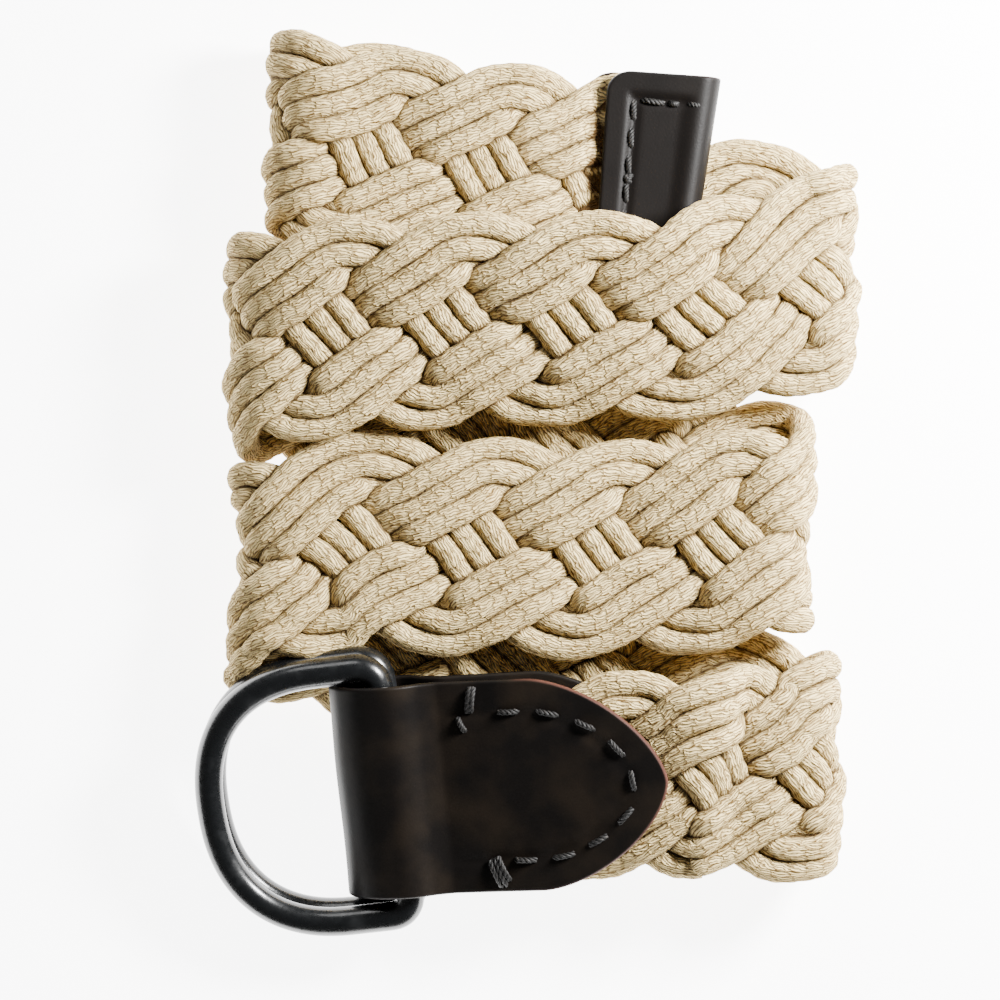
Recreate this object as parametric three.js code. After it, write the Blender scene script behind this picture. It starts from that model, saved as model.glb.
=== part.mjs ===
// A braided rope belt, wound into a flat coil: a leather tip cap, the rope band and a leather tab with two D-rings.
import * as THREE from "three";

// Driving sizes, in millimetres and degrees
const ropeDiameter = 5.8;
const ropesPerStrand = 3;
const petalPitch = 27.75; // from one petal to the next along an edge
const braidWidth = 49.4;
const foldSpan = 119.5; // between the centres of the coil's widest folds
const gap = 0.3; // between pieces that touch

const ringWire = 6.4;
const ringInnerWidth = 50;
const ringInnerDepth = 35.5;
const ringCorner = 4.5; // centreline radius where the bar meets the arms
const ringArm = 9; // straight length of an arm, past its corner
const ringSquareness = 2.35; // 2 is a half ellipse, more is squarer

const tabLeather = 2;
const tabWidth = 48.4;
const tabBarToTip = 62.5;
const tabBarToFold = 13.2;
const tabBarToSeam = 12;
const tabPoint = 30; // length of the rounded point
const tabTongue = 5.6; // thickness of the rope ends sewn into the tab

const capLeather = 1.6;
const capWidth = 50;
const capLength = 23.5;
const capCorner = 5;
const capTongue = 4.8; // thickness of the rope ends sewn into the cap
const seamEase = 7; // rope's length from a leather edge to its full thickness

// Sizes that follow
const braidThickness = 2 * ropeDiameter;
const halfThickness = braidThickness / 2;
const ringHalfWidth = (ringInnerWidth + ringWire) / 2;
const ringStep = ringWire + gap;
const barTilt = Math.asin((braidThickness + 2 * gap) / tabWidth);
const tabHalfPocket = ringStep / 2 + ringWire / 2 + 2 * gap;
const tabHalfTongue = tabTongue / 2;
const capHalfTongue = capTongue / 2;
const capHalf = capHalfTongue + gap + capLeather;
const tongueShrink = (tabWidth / 2 - 1.5) / (braidWidth / 2);

// The tab's lower edge is on the ground, and its upper edge is on the pass of braid below it.
const tabRise = 8.5;
const barHeight =
  (tabWidth / 2) * Math.sin(barTilt) +
  (tabHalfPocket + tabLeather) * Math.cos(barTilt) +
  tabBarToFold * Math.sin((tabRise * Math.PI) / 180);
const tab = { x: -0.542 * (foldSpan / 2), y: -1.406 * braidWidth, z: barHeight, turn: 3, rise: tabRise };
const rings = { turn: 3, rise: -3.5 }; // against the tab
const cap = { x: 0.224 * (foldSpan / 2), y: 1.4 * braidWidth, z: braidThickness + 3 * gap + capHalf, turn: -4 };

// The belt's route from the cap to the tab, seen from above: x is a share of half the fold span, y of the
// braid's width and z of its thickness, and roll lifts the upper edge, in degrees. fold is -1 before a fold
// at the left and 1 before one at the right.
const route = [
  { x: -0.05, y: 1.43, z: 1.64, roll: 0 },
  { x: -0.22, y: 1.455, z: 1.6, roll: 0 },
  { x: -0.64, y: 1.52, z: 1.6, roll: 0 },
  { x: -0.85, y: 1.57, z: 1.81, roll: 0, fold: -1 },
  { x: -0.85, y: 1.62, z: 0.52, roll: 0 },
  { x: -0.35, y: 1.43, z: 0.51, roll: 0 },
  { x: 0.19, y: 1.25, z: 0.51, roll: 0 },
  { x: 0.7, y: 1.12, z: 0.51, roll: 0 },
  { x: 1.0, y: 1.04, z: 0.52, roll: 0, fold: 1 },
  { x: 1.0, y: 0.93, z: 1.88, roll: 5 },
  { x: 0.63, y: 0.8, z: 2.22, roll: 15 },
  { x: 0.38, y: 0.77, z: 2.32, roll: 17 },
  { x: 0.14, y: 0.76, z: 2.3, roll: 17 },
  { x: -0.36, y: 0.755, z: 2.27, roll: 15 },
  { x: -0.74, y: 0.72, z: 2.32, roll: 8 },
  { x: -0.955, y: 0.695, z: 2.25, roll: 4, fold: -1 },
  { x: -0.955, y: 0.59, z: 0.52, roll: 0 },
  { x: -0.55, y: 0.43, z: 0.51, roll: 0 },
  { x: 0.0, y: 0.2, z: 0.51, roll: 0 },
  { x: 0.54, y: 0.01, z: 0.51, roll: 0 },
  { x: 0.84, y: -0.1, z: 0.52, roll: 0, fold: 1 },
  { x: 0.84, y: -0.22, z: 1.81, roll: 0 },
  { x: 0.42, y: -0.275, z: 1.55, roll: 0 },
  { x: 0.0, y: -0.28, z: 1.55, roll: 0 },
  { x: -0.43, y: -0.26, z: 1.55, roll: 0 },
  { x: -0.75, y: -0.257, z: 1.56, roll: -2 },
  { x: -0.985, y: -0.342, z: 1.66, roll: -3, fold: -1 },
  { x: -0.985, y: -0.485, z: 0.52, roll: 0 },
  { x: -0.55, y: -0.655, z: 0.51, roll: 0 },
  { x: 0.0, y: -0.88, z: 0.51, roll: 0 },
  { x: 0.55, y: -1.07, z: 0.51, roll: 0 },
  { x: 0.94, y: -1.2, z: 0.52, roll: 0, fold: 1 },
  { x: 0.94, y: -1.3, z: 1.9, roll: 4 },
  { x: 0.74, y: -1.3, z: 1.98, roll: 9 },
];

const radians = (degrees) => (degrees * Math.PI) / 180;
const mix = (a, b, share) => a + (b - a) * share;
const smooth = (value, from, to) => THREE.MathUtils.smoothstep(value, from, to);
const ramp = (value, from, to) => THREE.MathUtils.clamp((value - from) / (to - from), 0, 1);

// A frame whose x runs from the leather piece's opening or bar, y across the belt and z outwards.
function leatherFrame({ x, y, z, turn, rise = 0 }, roll) {
  const frame = new THREE.Group();
  frame.position.set(x, y, z);
  frame.rotation.set(roll, -radians(rise), radians(turn), "ZYX");
  frame.updateMatrixWorld();
  return frame;
}

const tabFrame = leatherFrame(tab, barTilt);
const capFrame = leatherFrame(cap, 0);

// Points of the route, each with its roll as a fourth number.
function routePoints() {
  const points = [];
  const along = (frame, distance, roll) => {
    const at = frame.localToWorld(new THREE.Vector3(distance, 0, 0));
    points.push([at.x, at.y, at.z, roll]);
  };
  for (const distance of [capLength - capHalf - gap, capLength / 2, 0, -seamEase]) along(capFrame, distance, 0);
  route.forEach((row, index) => {
    const at = (r) => [(r.x * foldSpan) / 2, r.y * braidWidth, r.z * braidThickness, radians(r.roll)];
    points.push(at(row));
    if (!row.fold) return;
    const [from, to] = [at(row), at(route[index + 1])];
    for (const share of [0.25, 0.5, 0.75]) {
      const angle = Math.PI * share;
      const point = from.map((value, axis) => mix(value, to[axis], share));
      const middle = (from[2] + to[2]) / 2;
      point[0] += (row.fold * Math.abs(from[2] - to[2]) * Math.sin(angle)) / 2;
      point[2] = middle + ((from[2] - to[2]) / 2) * Math.cos(angle);
      points.push(point);
    }
  });
  for (const distance of [tabBarToTip + seamEase, tabBarToTip, (tabBarToTip + tabBarToSeam) / 2, tabBarToSeam])
    along(tabFrame, distance, barTilt);
  return points;
}

// A Catmull-Rom curve through the points, cut into short steps with the length so far.
function denseRoute(points, steps = 16) {
  const dense = [];
  for (let i = 0; i < points.length - 1; i++) {
    const at = (k) => points[THREE.MathUtils.clamp(k, 0, points.length - 1)];
    const [a, b, c, d] = [at(i - 1), at(i), at(i + 1), at(i + 2)];
    const span = (p, q) => Math.sqrt(Math.hypot(p[0] - q[0], p[1] - q[1], p[2] - q[2])) || 1;
    const [before, here, after] = [span(a, b), span(b, c), span(c, d)];
    for (let k = 0; k < steps + (i === points.length - 2 ? 1 : 0); k++) {
      const t = k / steps;
      dense.push(
        b.map((_, axis) => {
          const [pa, pb, pc, pd] = [a[axis], b[axis], c[axis], d[axis]];
          const chord = pc - pb;
          const leave = i === 0 ? chord : here * ((pb - pa) / before - (pc - pa) / (before + here)) + chord;
          const reach =
            i === points.length - 2 ? chord : chord + here * ((pd - pc) / after - (pd - pb) / (here + after));
          return pb + t * leave + t * t * (3 * chord - 2 * leave - reach) + t * t * t * (leave + reach - 2 * chord);
        }),
      );
    }
  }
  let length = 0;
  return dense.map((point, i) => {
    if (i) length += Math.hypot(...[0, 1, 2].map((axis) => point[axis] - dense[i - 1][axis]));
    return { at: new THREE.Vector3(...point), roll: point[3], length };
  });
}

const dense = denseRoute(routePoints());
const beltLength = dense.at(-1).length;

// The belt's frame at a distance from its tip: along it, across it and outwards.
function frameAt(distance) {
  let i = 1;
  while (i < dense.length - 1 && dense[i].length < distance) i++;
  const [a, b] = [dense[i - 1], dense[i]];
  const share = THREE.MathUtils.clamp((distance - a.length) / (b.length - a.length), 0, 1);
  const tangentAt = (k) => {
    const [p, q] = [dense[Math.max(k - 1, 0)], dense[Math.min(k + 1, dense.length - 1)]];
    return q.at.clone().sub(p.at).normalize();
  };
  const along = tangentAt(i - 1).lerp(tangentAt(i), share).normalize();
  const level = new THREE.Vector3(0, 1, 0).addScaledVector(along, -along.y).normalize();
  const across = level.applyAxisAngle(along, -mix(a.roll, b.roll, share));
  const out = across.clone().cross(along);
  return { at: a.at.clone().lerp(b.at, share), along, across, out };
}

// The number of petals up to a distance from the belt's tip, which differs a little from one row to the next.
const petalPlaces = [
  { distance: 0, petals: 0.33 },
  { distance: 45, petals: 2 },
  { distance: 71, petals: 3 },
  { distance: 273, petals: 10 },
  { distance: 302, petals: 11 },
  { distance: 330, petals: 12 },
  { distance: 356, petals: 13 },
  { distance: 544, petals: 20 },
  { distance: 572, petals: 21 },
  { distance: 600, petals: 22 },
  { distance: 629, petals: 23 },
  { distance: 808, petals: 29 },
  { distance: 830, petals: 30 },
  { distance: 890, petals: 32.3 },
];

function petalsAt(distance) {
  let sum = 0;
  const shifts = [-14, -7, 0, 7, 14];
  for (const shift of shifts) {
    const place = distance + shift;
    let i = 1;
    while (i < petalPlaces.length - 1 && petalPlaces[i].distance < place) i++;
    const [a, b] = [petalPlaces[i - 1], petalPlaces[i]];
    sum += mix(a.petals, b.petals, ramp(place, a.distance, b.distance));
  }
  return sum / shifts.length;
}

// The four strands: where a strand lies across the braid, and how far over or under, at a place in its cycle.
const strandCount = 4;
const strandCycle = strandCount * petalPitch;
const edgeRope = 0.75; // rope spacing at an edge, in rope diameters
const strandReach = braidWidth / 2 - ropeDiameter * (0.5 + (edgeRope * (ropesPerStrand - 1)) / 2);
const crossingLean = 0.45; // how much longer a strand takes to cross one way than the other
const crossingBend = -0.12;
const overUnder = [
  { cycle: -0.173, over: -1 },
  { cycle: 0.077, over: 1 },
  { cycle: 0.25, over: -1 },
  { cycle: 0.423, over: 1 },
  { cycle: 0.673, over: -1 },
  { cycle: 0.75, over: 1 },
  { cycle: 0.827, over: -1 },
];

function strandAt(strand, distance) {
  const cycle = THREE.MathUtils.euclideanModulo((petalsAt(distance) + strand) / strandCount, 1);
  const turn = 2 * Math.PI * (cycle - 0.75);
  const angle = 2 * Math.PI * cycle + crossingLean * Math.sin(turn) + (crossingBend / 2) * Math.sin(2 * turn);
  const speed = 1 + crossingLean * Math.cos(turn) + crossingBend * Math.cos(2 * turn);
  const last = overUnder.at(-1);
  const place = cycle > last.cycle ? cycle - 1 : cycle;
  const step = overUnder.findLastIndex((knot) => knot.cycle <= place);
  const before = step < 0 ? { cycle: last.cycle - 1, over: last.over } : overUnder[step];
  const after = overUnder[step + 1];
  const ease = (1 - Math.cos(Math.PI * ramp(place, before.cycle, after.cycle))) / 2;
  return {
    across: strandReach * Math.cos(angle),
    slope: (-strandReach * 2 * Math.PI * speed * Math.sin(angle)) / strandCycle,
    over: (ropeDiameter / 2) * mix(before.over, after.over, ease),
  };
}

// Half the width of a strand, measured square to its ropes.
function strandHalfWidth(slope) {
  const spacing = mix(edgeRope, 1, Math.min(1, Math.abs(slope) / 0.8));
  return ropeDiameter * (0.5 + (spacing * (ropesPerStrand - 1)) / 2);
}

const strands = [...Array(strandCount).keys()];

// The braid's edge on one side (1 upper, -1 lower) at a distance along it.
function edgeAt(distance, side) {
  const reach = strands.map((strand) => {
    const { across, slope } = strandAt(strand, distance);
    return side * across + strandHalfWidth(slope) * Math.hypot(1, slope);
  });
  return side * Math.min(Math.max(...reach), braidWidth / 2);
}

// The height of the highest rope over the braid's middle, on the outer (1) or inner (-1) face.
function reliefAt(distance, across, face) {
  let height = ropeDiameter / 4;
  for (const strand of strands) {
    let near = distance;
    for (let pass = 0; pass < 3; pass++) {
      const { across: middle, slope } = strandAt(strand, near);
      near += ((distance - near) + (across - middle) * slope) / (1 + slope * slope);
    }
    const { across: middle, slope, over } = strandAt(strand, near);
    const aside = Math.hypot(distance - near, across - middle) / strandHalfWidth(slope);
    if (aside < 1) height = Math.max(height, face * over + (ropeDiameter / 2) * Math.sqrt(1 - aside ** 4));
  }
  return height;
}

// Half the braid's greatest thickness, which eases down to the rope ends sewn into the leather.
function thicknessLimit(distance) {
  const fromCap = smooth(distance, capLength - capHalf, capLength - capHalf + seamEase);
  const tabFlap = tabBarToTip - tabBarToSeam;
  const fromTab = ramp(beltLength - distance, 0, tabFlap);
  return Math.min(mix(capHalfTongue, halfThickness, fromCap), mix(tabHalfTongue, halfThickness, fromTab));
}

function widthShare(distance) {
  const fromCap = smooth(distance, capLength - seamEase, capLength + 2 * seamEase);
  const fromTab = smooth(beltLength - distance, (tabBarToTip - tabBarToSeam) / 3, tabBarToTip - tabBarToSeam);
  return Math.min(mix(tongueShrink, 1, fromCap), mix(tongueShrink, 1, fromTab));
}

// Joins rings of points into one closed body.
function closedBody(rings) {
  const sides = rings[0].length;
  const positions = rings.flat().flatMap((point) => [point.x, point.y, point.z]);
  const faces = [];
  for (let i = 0; i < rings.length - 1; i++)
    for (let j = 0; j < sides; j++) {
      const [a, b] = [i * sides + j, i * sides + ((j + 1) % sides)];
      faces.push(a, b, a + sides, b, b + sides, a + sides);
    }
  const last = (rings.length - 1) * sides;
  for (let j = 1; j < sides - 1; j++) faces.push(0, j + 1, j, last, last + j, last + j + 1);
  const geometry = new THREE.BufferGeometry();
  geometry.setAttribute("position", new THREE.Float32BufferAttribute(positions, 3));
  geometry.setIndex(faces);
  geometry.computeVertexNormals();
  return geometry;
}

function braidGeometry() {
  const cells = 9;
  const steps = Math.round((beltLength / petalPitch) * 6);
  const rings = [];
  for (let i = 0; i <= steps; i++) {
    const distance = (beltLength * i) / steps;
    const { at, across, out } = frameAt(distance);
    const limit = thicknessLimit(distance);
    const share = widthShare(distance);
    const [low, high] = [edgeAt(distance, -1), edgeAt(distance, 1)];
    const ring = [];
    for (const face of [1, -1])
      for (let j = 0; j <= cells; j++) {
        const place = face === 1 ? j / cells : 1 - j / cells;
        const aside = mix(low, high, place);
        const edge = j === 0 || j === cells;
        const relief = edge ? ropeDiameter / 4 : Math.min(reliefAt(distance, aside, face), limit);
        ring.push(at.clone().addScaledVector(across, aside * share).addScaledVector(out, face * relief));
      }
    rings.push(ring);
  }
  return closedBody(rings);
}

// A strip of leather that follows a folded line in the xz plane, with its width set along the way.
function foldedStrip(line, leather, halfWidthAt) {
  const points = line.getPoints(56);
  return closedBody(
    points.map((point, i) => {
      const [p, q] = [points[Math.max(i - 1, 0)], points[Math.min(i + 1, points.length - 1)]];
      const normal = new THREE.Vector2(p.y - q.y, q.x - p.x).normalize().multiplyScalar(leather / 2);
      const half = halfWidthAt(point.x);
      return [
        [half, 1],
        [-half, 1],
        [-half, -1],
        [half, -1],
      ].map(([y, side]) => new THREE.Vector3(point.x + side * normal.x, y, point.y + side * normal.y));
    }),
  );
}

const material = (color, roughness, metalness = 0) =>
  new THREE.MeshStandardMaterial({ color, roughness, metalness });
const leatherBlack = material(0x1d1817, 0.35);
const ringBlack = material(0x17181a, 0.3, 0.6);

function mesh(name, geometry, finish) {
  const made = new THREE.Mesh(geometry, finish);
  made.name = name;
  return made;
}

// The tab's line, from the upper flap's tip round the bars to the lower flap's tip.
const tabSharpness = 1.6; // of the point's outline, where 2 is a half ellipse
const tabPocketShape = [
  { along: 0.62, rise: 0.34 },
  { along: 0.36, rise: 0.78 },
  { along: 0.14, rise: 1 },
  { along: -0.12, rise: 1 },
  { along: -0.42, rise: 0.93 },
  { along: -0.68, rise: 0.74 },
  { along: -0.88, rise: 0.45 },
];

function tabMesh() {
  const straight = tabBarToTip - tabPoint;
  const skin = gap + tabLeather / 2;
  const flapRise = (x) =>
    skin + mix(tabHalfTongue, halfThickness, ramp(x, tabBarToSeam, tabBarToTip));
  const upper = [];
  const pointSteps = 9;
  for (let k = 0; k < pointSteps; k++) {
    const x = straight + tabPoint * Math.cos((Math.PI / 2) * (k / pointSteps)) ** (2 / tabSharpness);
    upper.push([x, flapRise(x)]);
  }
  for (const share of [0, 0.33, 0.66, 1]) {
    const x = mix(straight, tabBarToSeam, share);
    upper.push([x, flapRise(x)]);
  }
  const [low, high] = [tabHalfTongue + skin, tabHalfPocket + tabLeather / 2];
  const reach = tabBarToFold - tabLeather / 2;
  for (const { along, rise } of tabPocketShape)
    upper.push([along * (along > 0 ? tabBarToSeam : reach), along > 0 ? mix(low, high, rise) : high * rise]);
  const lower = upper.map(([x, z]) => [x, -z]).reverse();
  const points = [...upper, [-reach, 0], ...lower].map(([x, z]) => new THREE.Vector2(x, z));
  const line = { getPoints: () => points };
  const halfWidthAt = (x) => {
    const beyond = Math.max(0, (x - straight) / tabPoint);
    return Math.max(0.4, (tabWidth / 2) * Math.max(0, 1 - beyond ** tabSharpness) ** (1 / tabSharpness));
  };
  return mesh("buckle_tab", foldedStrip(line, tabLeather, halfWidthAt), leatherBlack);
}

// The cap's line, from the upper flap's edge round the belt's end to the lower flap's edge.
function capMesh() {
  const rise = capHalf - capLeather / 2;
  const bend = capLength - capHalf;
  const points = [];
  for (const share of [0, 0.08, 0.16, 0.24, 0.5, 1]) points.push(new THREE.Vector2(bend * share, rise));
  for (let k = 1; k < 8; k++) {
    const angle = (Math.PI * k) / 8;
    points.push(new THREE.Vector2(bend + rise * Math.sin(angle), rise * Math.cos(angle)));
  }
  for (const share of [1, 0.5, 0.24, 0.16, 0.08, 0]) points.push(new THREE.Vector2(bend * share, -rise));
  const line = { getPoints: () => points };
  const halfWidthAt = (x) => {
    const inset = Math.max(0, capCorner - x);
    return capWidth / 2 - capCorner + Math.sqrt(capCorner ** 2 - inset ** 2);
  };
  return mesh("tip_cap", foldedStrip(line, capLeather, halfWidthAt), leatherBlack);
}

// One D-ring in the tab's frame, with its bar along y.
function ringMesh(name, side) {
  const points = [];
  const add = (x, y) => points.push(new THREE.Vector3(x, y, 0));
  const barHalf = ringHalfWidth - ringCorner;
  const bow = ringInnerDepth + ringWire - ringCorner - ringArm;
  for (const share of [-0.5, 0, 0.5]) add(0, barHalf * share);
  for (const k of [0, 0.5, 1]) {
    const angle = (Math.PI / 2) * k;
    add(-ringCorner * (1 - Math.cos(angle)), barHalf + ringCorner * Math.sin(angle));
  }
  const bowSteps = 14;
  for (let k = 0; k <= bowSteps; k++) {
    const angle = (Math.PI * k) / bowSteps;
    const reach = Math.sin(angle) ** (2 / ringSquareness);
    const aside = Math.abs(Math.cos(angle)) ** (2 / ringSquareness) * Math.sign(Math.cos(angle));
    add(-ringCorner - ringArm - bow * reach, ringHalfWidth * aside);
  }
  for (const k of [1, 0.5, 0]) {
    const angle = (Math.PI / 2) * k;
    add(-ringCorner * (1 - Math.cos(angle)), -barHalf - ringCorner * Math.sin(angle));
  }
  const line = new THREE.CatmullRomCurve3(points, true, "centripetal");
  const ring = mesh(name, new THREE.TubeGeometry(line, 56, ringWire / 2, 10, true), ringBlack);
  ring.position.z = (side * ringStep) / 2;
  return ring;
}

const ringPair = new THREE.Group();
ringPair.rotation.set(0, -radians(rings.rise), radians(rings.turn), "ZYX");
ringPair.add(ringMesh("ring_upper", 1), ringMesh("ring_lower", -1));
tabFrame.add(tabMesh(), ringPair);
capFrame.add(capMesh());

const belt = new THREE.Group();
belt.name = "rope_belt";
belt.add(mesh("braid", braidGeometry(), material(0xe0cfa9, 0.95)), tabFrame, capFrame);
belt.updateMatrixWorld(true);

// The origin is on the ground, under the middle of the coil.
const box = new THREE.Box3().setFromObject(belt, true);
const middle = box.getCenter(new THREE.Vector3());
belt.position.set(-middle.x, -middle.y, -box.min.z);
belt.updateMatrixWorld(true);

export default belt;
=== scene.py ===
import math
import bpy
import numpy as np
from mathutils import Matrix, Vector, kdtree


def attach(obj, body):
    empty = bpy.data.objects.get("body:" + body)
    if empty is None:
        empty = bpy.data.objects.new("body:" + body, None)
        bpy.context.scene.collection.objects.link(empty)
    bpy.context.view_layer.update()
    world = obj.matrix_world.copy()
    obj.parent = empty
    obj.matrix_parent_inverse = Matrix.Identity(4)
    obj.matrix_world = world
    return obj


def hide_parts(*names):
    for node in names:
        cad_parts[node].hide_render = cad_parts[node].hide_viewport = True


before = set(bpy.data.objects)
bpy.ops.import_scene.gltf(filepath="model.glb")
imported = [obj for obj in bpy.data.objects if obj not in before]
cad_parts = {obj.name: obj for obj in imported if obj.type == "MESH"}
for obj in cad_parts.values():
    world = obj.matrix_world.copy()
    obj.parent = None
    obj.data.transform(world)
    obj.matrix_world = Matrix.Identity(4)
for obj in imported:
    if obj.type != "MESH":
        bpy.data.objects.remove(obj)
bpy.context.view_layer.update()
print("frame loaded:", sorted(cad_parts))

rng = np.random.default_rng(7)


def smoothStep(value, start, end):
    t = np.clip((value - start) / (end - start), 0, 1)
    return t * t * (3 - 2 * t)


def mixed(a, b, share):
    return a + (b - a) * share


def unit(vectors):
    return vectors / np.maximum(np.linalg.norm(vectors, axis=-1, keepdims=True), 1e-9)


def placed(points, matrix):
    return points @ matrix[:3, :3].T + matrix[:3, 3]


def lengthAlong(line):
    return np.concatenate([[0], np.cumsum(np.linalg.norm(np.diff(line, axis=0), axis=1))])


def pointsAt(marks, length, line):  # the places on a line at some lengths along it
    return np.stack([np.interp(marks, length, axis) for axis in line.T], -1)


def disc(radius, sides):  # the outline of a round section
    angle = np.arange(sides) * 2 * math.pi / sides
    return radius * np.stack([np.cos(angle), np.sin(angle)], -1)


class Wire:  # an output of a material's node, which takes part in sums
    def __init__(self, tree, socket=None):
        self.tree, self.socket = tree, socket

    def node(self, kind, settings=(), inputs=(), output=0):
        made = self.tree.nodes.new("ShaderNode" + kind)
        for name, value in dict(settings).items():
            if name == "stops":
                ends = made.color_ramp.elements
                ends[0].position, ends[0].color = value[0]
                ends[1].position, ends[1].color = value[-1]
                for place, colour in value[1:-1]:
                    ends.new(place).color = colour
            else:
                setattr(made, name, value)
        for name, value in dict(inputs).items():
            if isinstance(value, Wire):
                self.tree.links.new(value.socket, made.inputs[name])
            else:
                made.inputs[name].default_value = value
        return Wire(self.tree, made.outputs[output])

    def calc(self, operation, *others):
        return self.node("Math", {"operation": operation}, dict(enumerate((self, *others))))

    def __add__(self, other):
        return self.calc("ADD", other)

    def __sub__(self, other):
        return self.calc("SUBTRACT", other)

    def __rsub__(self, other):
        return self.node("Math", {"operation": "SUBTRACT"}, {0: other, 1: self})

    def __mul__(self, other):
        return self.calc("MULTIPLY", other)

    def __truediv__(self, other):
        return self.calc("DIVIDE", other)

    def __pow__(self, other):
        return self.calc("POWER", other)

    __radd__, __rmul__ = __add__, __mul__

    def clamped(self):
        return self.calc("MINIMUM", 1).calc("MAXIMUM", 0)

    def colours(self, a, b):  # colour a where this is 0, b where it is 1
        return self.node("Mix", {"data_type": "RGBA"}, {0: self, 6: a, 7: b}, 2)


def finish(name, build, **fixed):
    material = bpy.data.materials.new(name)
    material.use_nodes = True
    tree = material.node_tree
    shader = tree.nodes["Principled BSDF"]
    for socket, value in fixed.items():
        shader.inputs[socket.replace("_", " ")].default_value = value
    for socket, wire in build(Wire(tree)).items():
        tree.links.new(wire.socket, shader.inputs[socket])
    return material


def meshPiece(name, points, faces, maps=(), material=None, body=None, replaces=()):
    mesh = bpy.data.meshes.new(name)
    mesh.from_pydata((points / 1000).tolist(), [], faces)
    for mapName, corners in dict(maps).items():
        layer = mesh.uv_layers.new(name=mapName)
        layer.uv.foreach_set("vector", np.asarray(corners, dtype=np.float32).ravel())
    mesh.shade_smooth()
    mesh.materials.append(material)
    piece = bpy.data.objects.new(name, mesh)
    bpy.context.collection.objects.link(piece)
    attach(piece, body)
    if replaces:
        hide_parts(*replaces)
    return piece


def pointValues(piece, name, values):
    layer = piece.data.attributes.new(name, "FLOAT", "POINT")
    layer.data.foreach_set("value", values.ravel().astype(np.float32))


def ringFaces(rows, sides, closed=False):  # quads between rings of points
    index = np.arange(rows * sides).reshape(rows, sides)
    if closed:
        index = np.vstack([index, index[:1]])
    beside = np.roll(index, -1, axis=1)
    return np.stack([index[:-1], beside[:-1], beside[1:], index[1:]], -1).reshape(-1, 4)


def ringCorners(values):  # the four corners' map places for each quad, from rows x (sides + 1) places
    return np.stack([values[:-1, :-1], values[:-1, 1:], values[1:, 1:], values[1:, :-1]], 2).reshape(-1, 2)


def swept(path, outward, section, closed=False):  # section: rows x sides x (aside, outward)
    if closed:
        along = unit(np.roll(path, -1, 0) - np.roll(path, 1, 0))
    else:
        along = unit(np.gradient(path, axis=0))
    aside = unit(np.cross(along, outward))
    up = np.cross(aside, along)
    return path[:, None] + section[..., :1] * aside[:, None] + section[..., 1:] * up[:, None]


# The belt's leather ends: where they lie, their outlines and their leather, in millimetres and degrees
band = dict(
    ropeDiameter=5.8,
    petalPitch=27.75,
    width=49.4,
    edgeRope=0.75,  # rope spacing at an edge, in rope diameters
    foldSpan=119.5,
    gap=0.3,
    seamEase=7,
    tuck=1.5,  # of its ends' edges inside the leather's
)
coilMiddle = np.array([2.2496, -0.493, 0])  # sets the coil over the frame's middle
thickness = 2 * band["ropeDiameter"]
tab = dict(
    leather=2,
    width=48.4,
    barToTip=62.5,
    barToFold=13.2,
    barToSeam=12,
    point=30,
    sharpness=1.6,
    tongue=5.6,
    x=-0.542 * band["foldSpan"] / 2,
    y=-1.406 * band["width"],
    alongBar=2.0,  # its slide in the rings
    stretch=1.03,
    trim=1.2,  # of the upper flap beside the lower one
    turn=3,
    rise=8.5,
)
cap = dict(leather=1.6, width=50, length=23.5, corner=5, tongue=4.8, turn=-4, rise=0)
rings = dict(
    wire=6.4,
    innerWidth=50,
    innerDepth=35.5,
    corner=4.5,
    arm=9,
    squareness=2.35,
    turn=3,
    rise=-3.5,
    alongBar=2.2,
    stretch=1.04,
)

ringStep = rings["wire"] + band["gap"]
barTilt = math.asin((thickness + 2 * band["gap"]) / tab["width"])
halfPocket = ringStep / 2 + rings["wire"] / 2 + 2 * band["gap"]
capHalf = cap["tongue"] / 2 + band["gap"] + cap["leather"]
tab["z"] = (
    tab["width"] / 2 * math.sin(barTilt)
    + (halfPocket + tab["leather"]) * math.cos(barTilt)
    + tab["barToFold"] * math.sin(math.radians(tab["rise"]))
)
cap["x"], cap["y"] = 0.224 * band["foldSpan"] / 2, 1.4 * band["width"]
cap["z"] = thickness + 3 * band["gap"] + capHalf


def turned(turn, rise, roll=0):
    return (
        Matrix.Rotation(math.radians(turn), 4, "Z")
        @ Matrix.Rotation(-math.radians(rise), 4, "Y")
        @ Matrix.Rotation(roll, 4, "X")
    )


def seated(piece, roll=0):
    place = Matrix.Translation((piece["x"], piece["y"], piece["z"]))
    return np.array(place @ turned(piece["turn"], piece["rise"], roll))


def slid(piece):
    return Matrix.Translation((0, piece["alongBar"], 0))


tabFrame = seated(tab, barTilt)
capFrame = seated(cap)
ringFrame = tabFrame @ np.array(turned(rings["turn"], rings["rise"]))
tabSeat = tabFrame @ np.array(slid(tab))
ringSeat = ringFrame @ np.array(slid(rings) @ Matrix.Scale(rings["stretch"], 4, (0, 1, 0)))

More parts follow.
